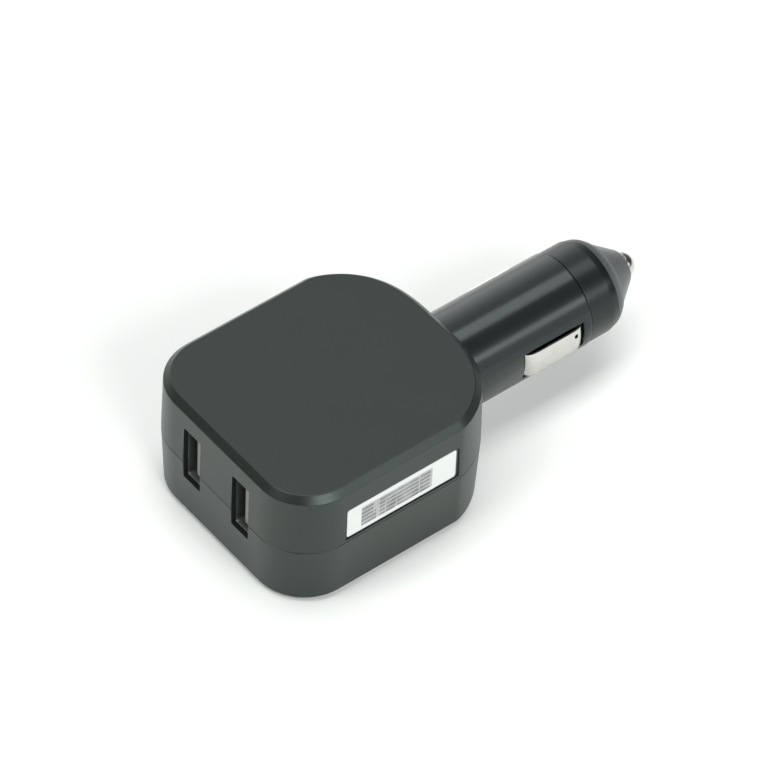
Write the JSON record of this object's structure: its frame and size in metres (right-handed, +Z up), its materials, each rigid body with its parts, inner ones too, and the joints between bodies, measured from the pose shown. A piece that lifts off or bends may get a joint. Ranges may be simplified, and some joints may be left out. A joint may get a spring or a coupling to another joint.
{
  "type": "car usb charger plug",
  "caption": "Black car socket charger: flat rounded head with upright charging ports, bowed rear side, white side label, and a round plug barrel with sprung tip and side contacts.",
  "frame": {"origin": "on the plug's axis at the shoulder, where the barrel leaves the head", "axes": "+Y out along the plug, +Z up, +X to the labelled side"},
  "size_m": [0.0504, 0.1053, 0.03],
  "materials": {
    "housing_plastic": "fine matte texture",
    "plug_plastic": "polished",
    "nose_plastic": "polished",
    "label_stock": "printed white sticker",
    "nickel_plate": "nickel plated",
    "spring_wire": "drawn wire",
    "tinned_strip": "tinned strip",
    "lead_cover": "insulated lead",
    "fuse_tube": "clear tube",
    "sleeve_plastic": "dark grey moulding",
    "board_laminate": "lacquered laminate",
    "port_steel": "tinned sheet",
    "tongue_plastic": "moulded insulator",
    "gold_plate": "gold plated",
    "ferrite": "sintered",
    "copper_wire": "lacquered copper",
    "capacitor_sleeve": "shrunk sleeve",
    "chip_resin": "moulded resin",
    "chip_ceramic": "fired ceramic"
  },
  "bodies": {
    "housing": {"lower_housing": "housing_plastic", "upper_housing": "housing_plastic", "label": "label_stock", "plug_barrel": "plug_plastic", "collar_ring": "plug_plastic", "nose_cone": "nose_plastic", "tip_spring": "spring_wire", "spring_plate": "tinned_strip", "tip_lead": "lead_cover", "inner_sleeve": "sleeve_plastic", "ground_rail_left": "tinned_strip", "ground_rail_right": "tinned_strip", "main_board": "board_laminate", "usb_shell_left": "port_steel", "usb_shell_right": "port_steel", "usb_tongue_left": "tongue_plastic", "usb_tongue_right": "tongue_plastic", "usb_contacts_left": "gold_plate", "usb_contacts_right": "gold_plate", "choke_core": "ferrite", "choke_winding": "copper_wire", "input_capacitor": "capacitor_sleeve", "output_capacitor": "capacitor_sleeve", "converter_chip": "chip_resin", "port_chip": "chip_resin", "diode": "chip_resin", "chip_resistors": "chip_resin", "chip_capacitors": "chip_ceramic"},
    "tip": {"tip_contact": "nickel_plate", "fuse_glass": "fuse_tube", "fuse_caps": "nickel_plate", "fuse_link": "spring_wire"},
    "side_left": {"side_contact_left": "nickel_plate"},
    "side_right": {"side_contact_right": "nickel_plate"}
  },
  "joints": [
    {"name": "tip_press", "type": "slide", "parent": "housing", "child": "tip", "axis": [0, -1, 0], "range_m": [0, 0.002], "stiffness_N_per_m": 500, "springref_m": -0.004, "deforming": ["tip_spring"]},
    {"name": "side_press_left", "type": "slide", "parent": "housing", "child": "side_left", "axis": [1, 0, 0], "range_m": [0, 0.0007], "stiffness_N_per_m": 1500, "springref_m": -0.001},
    {"name": "side_press_right", "type": "slide", "parent": "housing", "child": "side_right", "axis": [-1, 0, 0], "range_m": [0, 0.0007], "stiffness_N_per_m": 1500, "springref_m": -0.001}
  ]
}
